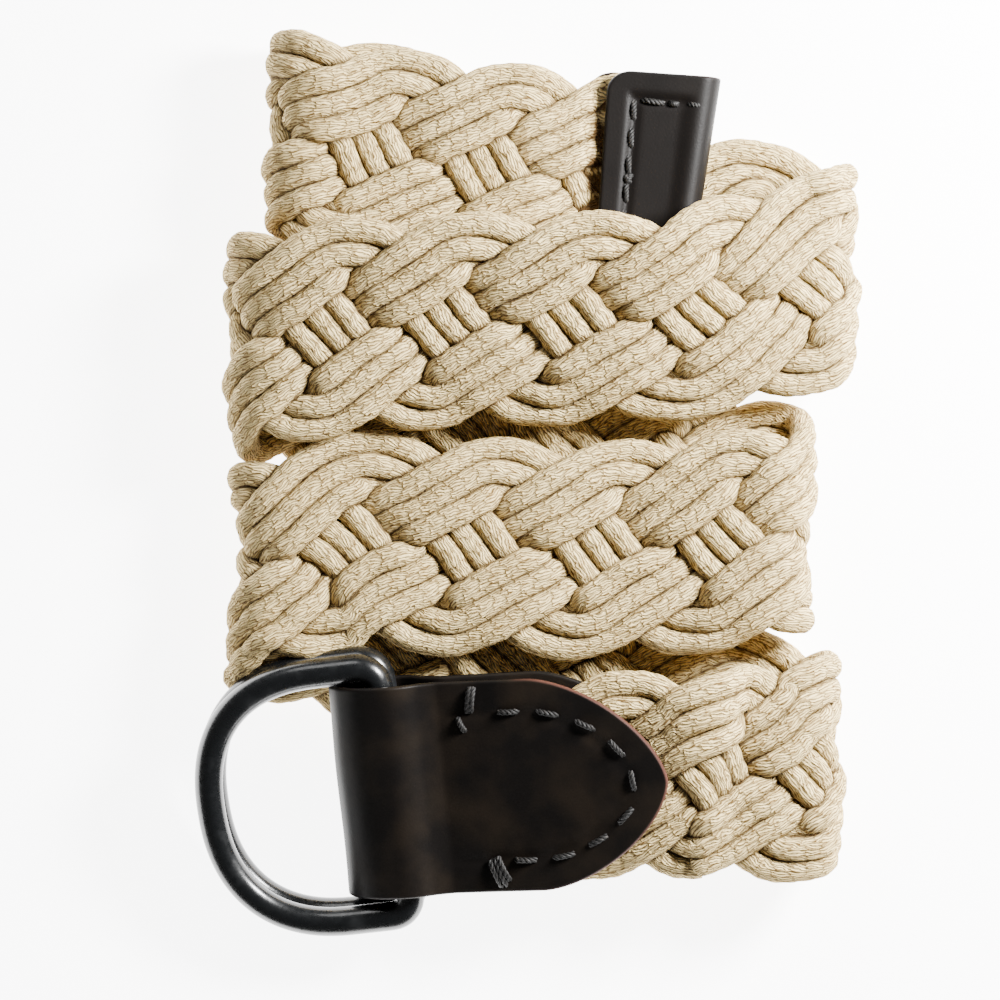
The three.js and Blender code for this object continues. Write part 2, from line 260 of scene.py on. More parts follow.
# The belt's route from the cap to the tab: x as a share of half the fold span, y of the band's width, z of
# its thickness, the roll in degrees, and -1 or 1 before a fold at the left or right
route = [
    (-0.05, 1.43, 1.64, 0, 0),
    (-0.22, 1.455, 1.6, 0, 0),
    (-0.64, 1.52, 1.6, 0, 0),
    (-0.85, 1.57, 1.81, 0, -1),
    (-0.85, 1.62, 0.52, 0, 0),
    (-0.35, 1.43, 0.51, 0, 0),
    (0.19, 1.25, 0.51, 0, 0),
    (0.7, 1.12, 0.51, 0, 0),
    (1.0, 1.04, 0.52, 0, 1),
    (1.0, 0.93, 1.88, 5, 0),
    (0.63, 0.8, 2.22, 15, 0),
    (0.38, 0.77, 2.32, 17, 0),
    (0.14, 0.76, 2.3, 17, 0),
    (-0.36, 0.755, 2.27, 15, 0),
    (-0.74, 0.72, 2.32, 8, 0),
    (-0.955, 0.695, 2.25, 4, -1),
    (-0.955, 0.59, 0.52, 0, 0),
    (-0.55, 0.43, 0.51, 0, 0),
    (0.0, 0.2, 0.51, 0, 0),
    (0.54, 0.01, 0.51, 0, 0),
    (0.84, -0.1, 0.52, 0, 1),
    (0.84, -0.22, 1.81, 0, 0),
    (0.42, -0.275, 1.55, 0, 0),
    (0.0, -0.28, 1.55, 0, 0),
    (-0.43, -0.26, 1.55, 0, 0),
    (-0.75, -0.25, 1.56, -2, 0),
    (-0.985, -0.335, 1.66, -3, -1),
    (-0.985, -0.485, 0.52, 0, 0),
    (-0.55, -0.655, 0.51, 0, 0),
    (0.0, -0.88, 0.51, 0, 0),
    (0.55, -1.07, 0.51, 0, 0),
    (0.94, -1.2, 0.52, 0, 1),
    (0.94, -1.3, 1.9, 4, 0),
    (0.74, -1.3, 1.98, 9, 0),
]


def routePoints():
    def along(matrix, distance, roll):
        return [*placed(np.array([distance, 0, 0]), matrix), roll]

    scale = [band["foldSpan"] / 2, band["width"], thickness, math.pi / 180]
    rows = [np.multiply(row[:4], scale) for row in route]
    points = [
        along(capFrame, distance, 0)
        for distance in (cap["length"] - capHalf - band["gap"], cap["length"] / 2, 0, -band["seamEase"])
    ]
    for i, row in enumerate(rows):
        points.append(row)
        fold = route[i][4]
        if fold:
            after = rows[i + 1]
            for share in (0.25, 0.5, 0.75):
                point = mixed(row, after, share)
                point[0] += fold * abs(row[2] - after[2]) * math.sin(math.pi * share) / 2
                point[2] = (row[2] + after[2]) / 2 + (row[2] - after[2]) / 2 * math.cos(math.pi * share)
                points.append(point)
    seams = (tab["barToTip"] + band["seamEase"], tab["barToTip"], (tab["barToTip"] + tab["barToSeam"]) / 2)
    points += [along(tabSeat, distance, barTilt) for distance in (*seams, tab["barToSeam"])]
    return np.array(points)


def curveThrough(points, steps):  # a centripetal Catmull-Rom curve
    dense = []
    last = len(points) - 1
    for i in range(last):
        a, b, c, d = (points[min(max(k, 0), last)] for k in (i - 1, i, i + 1, i + 2))
        before, here, after = (
            math.sqrt(np.linalg.norm((p - q)[:3])) or 1 for p, q in ((a, b), (b, c), (c, d))
        )
        chord = c - b
        leave = chord if i == 0 else here * ((b - a) / before - (c - a) / (before + here)) + chord
        reach = chord if i == last - 1 else chord + here * ((d - c) / after - (d - b) / (here + after))
        square, cube = 3 * chord - 2 * leave - reach, leave + reach - 2 * chord
        for t in np.linspace(0, 1, steps, endpoint=False):
            dense.append(b + t * leave + t**2 * square + t**3 * cube)
    dense.append(points[-1])
    return np.array(dense)


dense = curveThrough(routePoints(), 40)
routeAt = dense[:, :3]
routeLength = lengthAlong(routeAt)
beltLength = routeLength[-1]
routeAlong = unit(np.gradient(routeAt, axis=0))
level = unit(np.array([0, 1, 0]) - routeAlong * routeAlong[:, 1:2])
roll = dense[:, 3:4]
routeAcross = level * np.cos(roll) - np.cross(routeAlong, level) * np.sin(roll)
routeOut = np.cross(routeAcross, routeAlong)


def onBelt(distance, aside, height):  # a place on the band, from its flat form to the coil
    at, across, out = (
        pointsAt(distance, routeLength, vectors) for vectors in (routeAt, routeAcross, routeOut)
    )
    out = unit(out)
    ease = band["seamEase"]
    fromEnd = beltLength - distance
    flap = tab["barToTip"] - tab["barToSeam"]
    edge = cap["length"] - capHalf
    narrow = (tab["width"] / 2 - band["tuck"]) / (band["width"] / 2)
    width = np.minimum(
        mixed(narrow, 1, smoothStep(distance, cap["length"] - ease, cap["length"] + 2 * ease)),
        mixed(narrow, 1, smoothStep(fromEnd, flap / 3, flap)),
    )
    press = np.minimum(
        mixed(cap["tongue"] / thickness, 1, smoothStep(distance, edge, edge + ease)),
        mixed(tab["tongue"] / thickness, 1, np.clip(fromEnd / flap, 0, 1)),
    )
    point = at + across * (aside * width)[:, None] + out * (height * press)[:, None]
    return point, out, press


# Rope: each has a cover of short flat bundles of yarn
rope = dict(
    spacing=0.86,  # millimetres between rings
    bundles=12,
    bundleLength=3.4,
    bulge=0.34,  # of a bundle over its ends
    inward=0.6,  # share of the bulge inside the rope's diameter
    groove=0.06,
    stagger=0.16,
    wander=0.25,
    wanderPeriods=(3.1, 5.3, 9.7),
    lumps=0.18,
    lumpPeriods=(1.7, 2.9, 4.1, 6.7),
    lumpLobes=(1, 2, -1, 1),
    pressWide=1.08,
    lean=0.55,  # of a bundle across its column
    yarns=2.3,
    shade=1.1,  # reach of the shade beside another rope
    shadeSpare=0.6,  # for a place between two rings
    ownRings=14,  # rings of the rope itself that don't shade it
    # painted light and shade: lit and shaded copies of the cream
    sunlit=(0.93, 0.715, 0.34, 1),
    shaded=(0.55, 0.385, 0.155, 1),
    # painted shade in the gaps between yarns and round each bundle's sides and ends
    yarnGapShade=(0.115, 0.066, 0.022, 1),
    # painted shade: the dark brown where a rope lies against another
    creviceShade=(0.07, 0.038, 0.012, 1),
)

# Braid: four strands of three ropes, first in their flat paths, then pressed together
braid = dict(
    lean=0.45,  # how much longer a strand takes to cross one way than the other
    bend=-0.12,
    squeeze=0.955,  # rope spacing where ropes press on each other, in rope diameters
    rounds=150,
    stiffness=0.22,
    pull=0.06,  # towards the flat path
    flatten=0.012,
    height=0.62,  # of a strand that runs over another, in rope diameters
    fullSlope=0.8,  # slope from which its ropes lie a whole diameter apart
    ownSteps=9,  # steps of a rope that don't press on each other
)
strandCycle = 4 * band["petalPitch"]
strandReach = band["width"] / 2 - band["ropeDiameter"] * (0.5 + band["edgeRope"])
# Where a strand runs over (1) and under (-1), as shares of its cycle
overUnder = [
    (-0.173, -1),
    (0.077, 1),
    (0.25, -1),
    (0.423, 1),
    (0.673, -1),
    (0.75, 1),
    (0.827, -1),
    (1.077, 1),
]
# How many petals there are up to a distance from the belt's tip
petalPlaces = [
    (0, 0.33),
    (45, 2),
    (71, 3),
    (273, 10),
    (302, 11),
    (330, 12),
    (356, 13),
    (544, 20),
    (572, 21),
    (600, 22),
    (629, 23),
    (808, 29),
    (830, 30),
    (890, 32.3),
]


def strandAt(cycle):  # its place across the band, the slope of its path and its height
    turn = 2 * math.pi * (cycle - 0.75)
    angle = 2 * math.pi * cycle + braid["lean"] * np.sin(turn) + braid["bend"] / 2 * np.sin(2 * turn)
    speed = 1 + braid["lean"] * np.cos(turn) + braid["bend"] * np.cos(2 * turn)
    places, heights = np.array(overUnder, dtype=float).T
    cycle = (cycle - places[0]) % 1 + places[0]
    step = np.searchsorted(places, cycle, "right") - 1
    share = (cycle - places[step]) / (places[step + 1] - places[step])
    return (
        strandReach * np.cos(angle),
        -strandReach * 2 * math.pi / strandCycle * speed * np.sin(angle),
        mixed(heights[step], heights[step + 1], (1 - np.cos(math.pi * share)) / 2),
    )


def pressedRopes(count=92):  # one cycle of a strand's three ropes: along, across and outward
    cycle = np.arange(count) / count
    middle, slope, over = strandAt(cycle)
    lean = np.hypot(1, slope)
    steep = np.minimum(1, np.abs(slope) / braid["fullSlope"])
    spacing = mixed(band["edgeRope"], 1, steep) * band["ropeDiameter"]
    flat = np.stack(
        [
            np.stack(
                [
                    cycle * strandCycle - slope * side * spacing / lean,
                    middle + side * spacing / lean,
                    over * band["ropeDiameter"] * braid["height"],
                ],
                -1,
            )
            for side in (-1, 0, 1)
        ]
    )
    ropes = flat.copy()
    touch = band["ropeDiameter"] * braid["squeeze"]
    shifts = [
        np.array([(turn - strand / 4) * strandCycle, 0, 0])
        for turn in (-1, 0, 1)
        for strand in range(4)
    ]
    number = np.arange(3 * count)
    own, place = number // count, number % count
    for _ in range(braid["rounds"]):
        base = ropes.reshape(-1, 3)
        push = np.zeros_like(base)
        for shift in shifts:
            away = base[:, None] - (base + shift)[None]
            distance = np.linalg.norm(away, axis=-1)
            if shift[0] % strandCycle == 0:
                steps = np.abs(place[:, None] - place[None] - round(shift[0] / strandCycle) * count)
                distance[(own[:, None] == own[None]) & (steps < braid["ownSteps"])] = np.inf
            depth = np.clip(touch - distance, 0, None)
            push += (away / np.maximum(distance, 0.1)[..., None] * depth[..., None]).sum(1) / np.maximum(
                (depth > 0).sum(1), 1
            )[:, None]
        ropes = ropes + 0.5 * push.reshape(ropes.shape)
        wrap = np.array([strandCycle, 0, 0])
        before = np.concatenate([ropes[:, -1:] - wrap, ropes[:, :-1]], 1)
        after = np.concatenate([ropes[:, 1:], ropes[:, :1] + wrap], 1)
        ropes = ropes + braid["stiffness"] * (before + after - 2 * ropes)
        ropes[..., :2] += braid["pull"] * (flat - ropes)[..., :2]
        ropes[..., 2] *= 1 - braid["flatten"]
    limits = np.array([band["width"] - band["ropeDiameter"], thickness - band["ropeDiameter"]]) / 2
    reach = np.abs(ropes[..., 1:]).max((0, 1))
    print("braid pressed to", np.round(2 * reach + band["ropeDiameter"], 2), "mm")
    ropes[..., 1:] *= np.minimum(1, limits / reach)
    return ropes - np.stack([cycle * strandCycle, 0 * cycle, 0 * cycle], -1)


def petalsAt(distance):
    places, petals = np.array(petalPlaces).T
    shifts = (-14, -7, 0, 7, 14)
    return sum(np.interp(distance + shift, places, petals) for shift in shifts) / len(shifts)


oneCycle = pressedRopes()


def ropePath(strand, place):  # place: 0 to 2, from the lower rope of a strand to the upper one
    marks = np.linspace(-20, beltLength + 20, 2400)
    petals = petalsAt(marks)
    start, stop = petals[0] + 0.5, petals[-1] - 0.5
    flatPlace = np.arange(start, stop, 0.4 / band["petalPitch"]) * band["petalPitch"]
    cycle = (flatPlace / strandCycle + strand / 4) % 1
    knots = np.arange(len(oneCycle[0]) + 1) / len(oneCycle[0])
    along, aside, height = (
        np.interp(cycle, knots, np.append(track, track[0])) for track in oneCycle[place].T
    )
    distance = np.interp((flatPlace + along) / band["petalPitch"], petals, marks)
    phase = rng.uniform(0, 6.28, 3)
    wave = sum(np.sin(distance / period + p) for period, p in zip(rope["wanderPeriods"], phase)) / 3
    keep = (distance > 0.5) & (distance < beltLength - 0.5)
    return onBelt(distance[keep], (aside + rope["wander"] * wave)[keep], height[keep])


def resampled(length, spacing, *tracks):
    even = np.linspace(0, length[-1], int(length[-1] / spacing))
    return even, [
        np.interp(even, length, track)
        if track.ndim == 1
        else pointsAt(even, length, track)
        for track in tracks
    ]


def ropeForm(strand, place):
    path, out, press = ropePath(strand, place)
    length = lengthAlong(path)
    even, (path, out, press) = resampled(length, rope["spacing"], path, out, press)
    sides = 2 * rope["bundles"]
    angle = np.arange(sides) * 2 * math.pi / sides
    column = np.arange(rope["bundles"])
    row = even[:, None] / rope["bundleLength"] + 0.5 * (column % 2) + rope["stagger"] * np.sin(2.4 * column)
    swell = np.sin(math.pi * (row % 1)) ** 1.2  # each bundle's height along it
    bulge = np.empty((len(even), sides))
    bulge[:, 1::2] = swell
    bulge[:, ::2] = (swell + np.roll(swell, 1, 1)) / 2 - rope["groove"] / rope["bulge"]
    turns = rng.uniform(0, 6.28, 4)
    lumps = sum(
        np.sin(even[:, None] / period + lobe * angle + turn)
        for period, lobe, turn in zip(rope["lumpPeriods"], rope["lumpLobes"], turns)
    )
    sunk = rope["bulge"] * (1 - bulge) * rope["inward"]
    radius = band["ropeDiameter"] / 2 - sunk + rope["lumps"] * lumps / 2
    flat = press[:, None] ** 0.5
    section = np.stack(
        [
            np.cos(angle) * radius * rope["pressWide"] / flat,
            np.sin(angle) * radius * flat * flat,
        ],
        -1,
    )
    return swept(path, out, section) + coilMiddle, path + coilMiddle, even


# The nearness sets the painted shade between ropes in the cover's colour
def nearness(forms):  # 1 where a place on a rope touches another rope, down to 0
    marks = [(form, i) for form, (_, path, _) in enumerate(forms) for i in range(0, len(path), 2)]
    tree = kdtree.KDTree(len(marks))
    places = np.array([forms[form][1][i] for form, i in marks])
    for number, at in enumerate(places):
        tree.insert(at, number)
    tree.balance()
    marks = np.array(marks)
    radius = band["ropeDiameter"] / 2
    reach = 2 * radius + rope["shade"] + rope["shadeSpare"]
    near = []
    for form, (grid, path, _) in enumerate(forms):
        values = np.zeros(grid.shape[:2])
        for i, middle in enumerate(path):
            found = np.array([number for _, number, _ in tree.find_range(middle, reach)])
            found = found[(marks[found, 0] != form) | (np.abs(marks[found, 1] - i) > rope["ownRings"])]
            if len(found):
                apart = np.linalg.norm(grid[i][:, None] - places[found][None], axis=-1).min(1) - radius
                values[i] = np.clip(1 - apart / rope["shade"], 0, 1)
        near.append(values)
    return near


def ropePiece(strand, place, form, near, material):
    grid, _, even = form
    rows, sides = grid.shape[:2]
    faces = ringFaces(rows, sides)
    shares = np.arange(sides + 1) / sides
    cover = np.stack(np.broadcast_arrays(shares[None] * rope["bundles"], even[:, None]), -1)
    strips = 8
    perStrip = math.ceil((rows - 1) / strips)
    stripOf = np.arange(rows - 1) // perStrip
    low = (np.arange(rows - 1) - stripOf * perStrip) / perStrip
    bake = np.empty((rows - 1, sides, 4, 2))
    for corner, (acrossStep, alongStep) in enumerate(((0, 0), (1, 0), (1, 1), (0, 1))):
        share = shares[None, acrossStep : sides + acrossStep]
        bake[:, :, corner, 0] = (stripOf[:, None] + 0.04 + 0.92 * share) / strips
        bake[:, :, corner, 1] = 0.01 + 0.98 * (low + alongStep / perStrip)[:, None]
    ends = [list(range(sides))[::-1], list(range((rows - 1) * sides, rows * sides))]
    blank = np.zeros((2 * sides, 2))
    piece = meshPiece(
        f"rope_{'abcd'[strand]}{place + 1}",
        grid.reshape(-1, 3),
        faces.tolist() + ends,
        {
            "cover": np.concatenate([ringCorners(cover), blank]),
            "OFBake": np.concatenate([bake.reshape(-1, 2), blank]),
        },
        material,
        "belt",
        ["braid"],
    )
    pointValues(piece, "near", near)


def ropeFinish(start):
    place = start.node("UVMap", {"uv_map": "cover"})
    scaled = start.node("Mapping", {}, {0: place, 3: (0.45, 0.3, 1)})
    warp = start.node("TexNoise", (), {"Vector": scaled, "Scale": 1.0, "Detail": 2.0})
    drift = start.node("TexNoise", (), {"Vector": scaled, "Scale": 1.7, "Detail": 1.0}) - 0.5
    across = start.node("SeparateXYZ", (), {0: place}, 0) + 1.1 * (warp - 0.5)
    along = start.node("SeparateXYZ", (), {0: place}, 1) + 2.2 * drift
    column = across.calc("FLOOR")
    odd = column.calc("MODULO", 2)
    row = along / rope["bundleLength"] + 0.5 * odd + rope["stagger"] * (2.4 * column).calc("SINE")
    rowNumber = row.calc("FLOOR")
    middle = 2 * (row - rowNumber) - 1
    aside = 2 * (across - column) - 1 - rope["lean"] * (odd - 0.5) * middle
    crown = (1 - (aside / (1.05 - 0.25 * middle * middle)) ** 2).clamped() ** 0.5
    end = middle.calc("ABSOLUTE") ** 5
    bundle = start.node("CombineXYZ", (), {0: column, 1: rowNumber})
    each = start.node("TexWhiteNoise", {"noise_dimensions": "2D"}, {"Vector": bundle})
    streaky = start.node("Mapping", {}, {0: place, 3: (4.0, 0.5, 1)})
    streak = start.node("TexNoise", (), {"Vector": streaky, "Scale": 1.0, "Detail": 3.0, "Roughness": 0.65})
    wound = rope["yarns"] * (0.5 * aside + 0.2 * middle) + 1.3 * streak + each
    yarn = (math.pi * wound).calc("SINE").calc("ABSOLUTE")
    gap = (1 - yarn) ** 1.1
    height = (0.35 + 0.65 * crown) * (1 - 0.6 * end) * (1 - 0.6 * gap)
    world = start.node("TexCoord", (), (), 3)
    broad = start.node("TexNoise", (), {"Vector": world, "Scale": 45.0, "Detail": 3.0})
    # painted light and shade: the cream runs from its shaded to its sunlit copy with the noises, and is
    # lighter on each bundle's crown
    crownLight = crown * (1 - end)
    light = (0.5 * broad + 0.35 * each + 1.5 * (streak - 0.45) + 0.4 * (crownLight - 0.2)).clamped()
    cream = light.colours(rope["shaded"], rope["sunlit"])
    # painted shade: darker in the gaps between yarns and at each bundle's sides and ends
    yarnGapShade = (gap * (0.35 + 1.2 * streak) + 0.4 * end * crown ** 4 + 0.45 * (1 - crown) ** 2).clamped()
    # painted shade between ropes: the cover darkens where another rope lies close
    near = start.node("Attribute", {"attribute_name": "near"}, (), 2)
    creviceShade = (1.1 * near ** 1.5 * (1.25 - 0.5 * streak)).clamped()
    bump = start.node("Bump", (), {"Height": height, "Strength": 1.0, "Distance": 0.0005})
    return {
        "Base Color": creviceShade.colours(yarnGapShade.colours(cream, rope["yarnGapShade"]), rope["creviceShade"]),
        "Normal": bump,
        "Roughness": 0.85 + 0.15 * streak,
    }


cotton = finish("cotton rope", ropeFinish, Specular_IOR_Level=0.12)
ropeForms = [ropeForm(strand, place) for strand in range(4) for place in range(3)]
for i, near in enumerate(nearness(ropeForms)):
    ropePiece(i // 3, i % 3, ropeForms[i], near, cotton)
print("ropes made")


# Leather: one strip folded round the bars or the belt's end, with cut edges
skin = dict(
    black=(0.0045, 0.0037, 0.0033, 1),
    brown=(0.0115, 0.0082, 0.0055, 1),
    cutEdge=(0.10, 0.036, 0.024, 1),
    bevel=0.7,
    grain=0.000018,
    rawWidth=0.5,  # of the cut edge that shows its raw colour
    rawTo=34,  # from the strip's tip
    rawFade=7,
    flapsApart=90,  # the two faces in the skin's map
)


def leatherFinish(start, look):
    place = start.node("UVMap", {"uv_map": "skin"})
    cloud = start.node("TexNoise", (), {"Vector": place, "Scale": 0.07, "Detail": 4.0})
    fine = start.node("TexNoise", (), {"Vector": place, "Scale": 2.2, "Detail": 5.0})
    pores = start.node("TexVoronoi", {"feature": "DISTANCE_TO_EDGE"}, {"Vector": place, "Scale": 1.3})
    edge = start.node("Attribute", {"attribute_name": "fromEdge"}, (), 2)
    patch = ((cloud - 0.42) * 4).clamped() * look["brown"]
    body = patch.colours(skin["black"], skin["brown"])
    fromTip = start.node("SeparateXYZ", (), {0: place}, 0)
    nearTip = ((skin["rawTo"] - fromTip) / skin["rawFade"]).clamped()
    raw = (1 - edge / skin["rawWidth"]).clamped() * look["raw"] * nearTip
    relief = 0.6 * fine + (pores * 3).clamped()
    bump = start.node("Bump", (), {"Height": relief, "Strength": 0.6, "Distance": skin["grain"]})
    return {
        "Base Color": raw.colours(body, skin["cutEdge"]),
        "Roughness": 0.34 + 0.16 * cloud + 0.08 * fine + 0.3 * raw,
        "Normal": bump,
    }


def strip(name, node, line, outlineAt, relief, shape, leather, columns, material, matrix):
    # line: the folded strip's middle in its frame's xz plane; outlineAt: half width and edge distance
    tangent = unit(np.gradient(line, axis=0))
    normal = np.stack([tangent[:, 1], -tangent[:, 0]], -1)
    length = lengthAlong(line)
    half, fromEdge = outlineAt(line[:, 0], columns)
    y = half[:, None] * columns[None]
    rim = np.clip(fromEdge / skin["bevel"], 0, 1)
    depth = leather / 2 * np.sqrt(np.clip(1 - (1 - rim) ** 2.6, 0, 1))
    faces = []
    for side in (1, -1):
        shift = side * depth + relief(line, y, fromEdge, length[:, None], side)
        point = line[:, None] + normal[:, None] * shift[..., None]
        faces.append(np.stack([point[..., 0], y, point[..., 1]], -1))
    grid = np.concatenate([faces[0], faces[1][:, ::-1]], 1)
    rows, sides = grid.shape[:2]
    lengths = np.broadcast_to(length[:, None], y.shape)
    flat = np.stack([lengths, y], -1)
    flat = np.concatenate([flat, flat[:, ::-1] + [0, skin["flapsApart"]], flat[:, :1]], 1)
    caps = [list(range(sides)), list(range((rows - 1) * sides, rows * sides))[::-1]]
    quads = ringFaces(rows, sides)[:, ::-1]
    corners = ringCorners(flat).reshape(-1, 4, 2)[:, ::-1].reshape(-1, 2)
    ends = np.concatenate([flat[0, :-1], flat[-1, :-1][::-1]])
    piece = meshPiece(
        name,
        placed(shape(grid.reshape(-1, 3)), matrix) + coilMiddle,
        quads.tolist() + caps,
        {"skin": np.concatenate([corners, ends])},
        material,
        "belt",
        [node],
    )
    pointValues(piece, "fromEdge", np.concatenate([fromEdge, fromEdge[:, ::-1]], 1))


def stitchGroove(look, fromEdge):
    return look["grooveDepth"] * np.exp(-(((fromEdge - look["stitchInset"]) / look["grooveWidth"]) ** 2))


def clustered(count, width):  # places from -1 to 1, close together at the edges
    steps = np.array([0, 0.1, 0.25, 0.45, 0.7, 1.0])
    inner = np.linspace(-1 + (steps[-1] + 0.5) * 2 / width, 1 - (steps[-1] + 0.5) * 2 / width, count)
    outer = 1 - steps * 2 / width
    return np.concatenate([-outer, inner, outer[::-1]])


def smoothLine(points, spacing):
    line = curveThrough(np.array(points, dtype=float), 24)
    length = lengthAlong(line)
    return resampled(length, spacing, line)[1][0]


# Tab
tabShape = [(0.62, 0.34), (0.36, 0.78), (0.14, 1), (-0.12, 1), (-0.42, 0.93), (-0.68, 0.74), (-0.88, 0.45)]
tabLook = dict(
    stitchInset=7.2,
    grooveDepth=0.28,
    grooveWidth=1.1,
    stitchLength=5.0,
    stitchPitch=8.7,
    stitchFrom=12,  # from the seam
    uneven=0.22,
    waviness=0.22,
    pull=0.35,  # of the seam on the upper flap
    pullPlace=21,
    pullLength=4.5,
    pullSides=(9, 20),
    brown=1.0,
    raw=0.8,
)
tabStraight = tab["barToTip"] - tab["point"]
tabSkin = band["gap"] + tab["leather"] / 2


def flapRise(x):
    share = np.clip((x - tab["barToSeam"]) / (tab["barToTip"] - tab["barToSeam"]), 0, 1)
    return tabSkin + mixed(tab["tongue"] / 2, thickness / 2, share)


def tabLine():
    turns = np.linspace(0, 1, 34) ** 1.2
    tip = tabStraight + tab["point"] * np.cos(math.pi / 2 * turns) ** (2 / tab["sharpness"])
    straight = np.arange(tabStraight - 0.7, tab["barToSeam"] + 0.5, -0.8)
    flap = np.concatenate([tip, straight])
    low, high = flapRise(tab["barToSeam"]), halfPocket + tab["leather"] / 2
    reach = tab["barToFold"] - tab["leather"] / 2
    pocket = [(tab["barToSeam"] + 3, flapRise(tab["barToSeam"] + 3)), (tab["barToSeam"], low)]
    for along, rise in tabShape:
        x = along * (tab["barToSeam"] if along > 0 else reach)
        pocket.append((x, mixed(low, high, rise) if along > 0 else high * rise))
    pocket += [(-reach, 0)] + [(x, -z) for x, z in pocket[::-1]]
    bend = smoothLine(pocket, 0.8)
    bend = bend[np.abs(bend[:, 0] - tab["barToSeam"]) + 100 * (bend[:, 0] > tab["barToSeam"]) < 100]
    upper = np.stack([flap, flapRise(flap)], -1)
    lower = upper[::-1] * [1, -1]
    return np.concatenate([upper, bend, lower])


def ogive(x):
    beyond = np.clip((x - tabStraight) / tab["point"], 0, 1)
    return np.maximum(0.3, tab["width"] / 2 * (1 - beyond ** tab["sharpness"]) ** (1 / tab["sharpness"]))


def tabOutline(x, columns):
    half = ogive(x)
    y = np.abs(half[:, None] * columns[None])
    aside = half[:, None] - y
    share = np.clip(y / (tab["width"] / 2), 0, 1)
    tip = tabStraight + tab["point"] * (1 - share ** tab["sharpness"]) ** (1 / tab["sharpness"])
    ahead = np.maximum(tip - x[:, None], 1e-4)
    return half, np.maximum(aside * ahead / np.sqrt(aside**2 + ahead**2 + 1e-9), 0)


def tabRelief(line, y, fromEdge, length, side):
    x, z = line[:, :1], line[:, 1:]
    onFlap = smoothStep(x, tab["barToSeam"] - 1, tab["barToSeam"] + 3)
    groove = stitchGroove(tabLook, fromEdge)
    wave = tabLook["waviness"] * np.sin(length / 7.3 + y / 19) * np.sin(y / 8.1 + 1.3 + length / 31)
    close = np.exp(-(((x - tabLook["pullPlace"]) / tabLook["pullLength"]) ** 2))
    pull = tabLook["pull"] * close * smoothStep(np.abs(y), *tabLook["pullSides"])
    return (-groove * onFlap - pull * onFlap * (z > 0)) * (side > 0) + wave * smoothStep(fromEdge, 0, 6)


def tabTrim(points):  # the upper flap lies a little aside from the lower one
    share = np.clip(points[:, 2] / (halfPocket + tab["leather"]), -1, 1)
    return points * [1, tab["stretch"], 1] + np.outer(share, [0, tab["trim"], 0])


brownLeather = finish(
    "black brown leather", lambda start: leatherFinish(start, tabLook), Specular_IOR_Level=0.12
)
strip(
    "tab_leather",
    "buckle_tab",
    tabLine(),
    tabOutline,
    tabRelief,
    tabTrim,
    tab["leather"],
    clustered(62, tab["width"]),
    brownLeather,
    tabSeat,
)


# Tip cap
capLook = dict(
    stitchInset=6,
    grooveDepth=0.9,
    grooveWidth=1.0,
    recess=0.8,  # of the leather inside the stitches
    recessEase=(0.6, 1.2),
    foldEase=3.5,
    taper=0.09,
    peek=4.0,  # of the under flap
    peekSides=(2, 22),
    peekAlong=(2, 14),
    brown=0.075,
    raw=0.25,
)


def capLine():
    rise = capHalf - cap["leather"] / 2
    bend = cap["length"] - capHalf
    start = cap["corner"] * (1 - np.cos(np.linspace(0, math.pi / 2, 14)))
    flap = np.concatenate([start, np.arange(cap["corner"] + 0.6, bend - 0.3, 0.6)])
    angle = np.linspace(0, math.pi, 22)
    upper = np.stack([flap, np.full_like(flap, rise)], -1)
    fold = np.stack([bend + rise * np.sin(angle), rise * np.cos(angle)], -1)
    return np.concatenate([upper, fold, upper[::-1] * [1, -1]])[::-1]


def capOutline(x, columns):
    inset = np.clip(cap["corner"] - x, 0, cap["corner"])
    half = cap["width"] / 2 - cap["corner"] + np.sqrt(np.maximum(cap["corner"] ** 2 - inset**2, 0))
    y = np.abs(half[:, None] * columns[None])
    overX = np.clip(cap["corner"] - x[:, None], 0, None)
    overY = np.clip(y - (cap["width"] / 2 - cap["corner"]), 0, None)
    corner = cap["corner"] - np.hypot(overX, overY)
    away = np.minimum(cap["width"] / 2 - y, x[:, None])
    return half, np.maximum(np.where((overX > 0) & (overY > 0), corner, away), 0)


def capRelief(line, y, fromEdge, length, side):
    inset, (before, after) = capLook["stitchInset"], capLook["recessEase"]
    bend = cap["length"] - capHalf
    inside = smoothStep(fromEdge, inset - before, inset + after)
    onFlap = 1 - smoothStep(line[:, :1], bend - capLook["foldEase"], bend)
    return -(capLook["recess"] * inside + stitchGroove(capLook, fromEdge)) * onFlap * (side > 0)


def capTrim(points):  # narrower across the passes' lower side, and its under flap shows at the upper corner
    x, y, z = points.T
    under = (z < 0) * smoothStep(y, *capLook["peekSides"]) * (1 - smoothStep(x, *capLook["peekAlong"]))
    wider = 1 + capLook["taper"] * y / (cap["width"] / 2)
    return np.stack([x * wider - capLook["peek"] * under, y, z], -1)


blackLeather = finish("black leather", lambda start: leatherFinish(start, capLook), Specular_IOR_Level=0.1)
strip(
    "cap_leather",
    "tip_cap",
    capLine(),
    capOutline,
    capRelief,
    capTrim,
    cap["leather"],
    clustered(70, cap["width"]),
    blackLeather,
    capFrame,
)
print("leather made")


# Stitches: waxed black thread in twisted plies, from hole to hole
thread = dict(
    radius=0.62,
    plies=3,
    twist=1.6,  # turns in a stitch
    lift=0.45,
    sink=0.75,
    black=(0.006, 0.0055, 0.005, 1),
    # lint and painted glint: pale flecks for lint and for light caught on the waxed thread
    lintAndGlint=(0.06, 0.05, 0.042, 1),
)
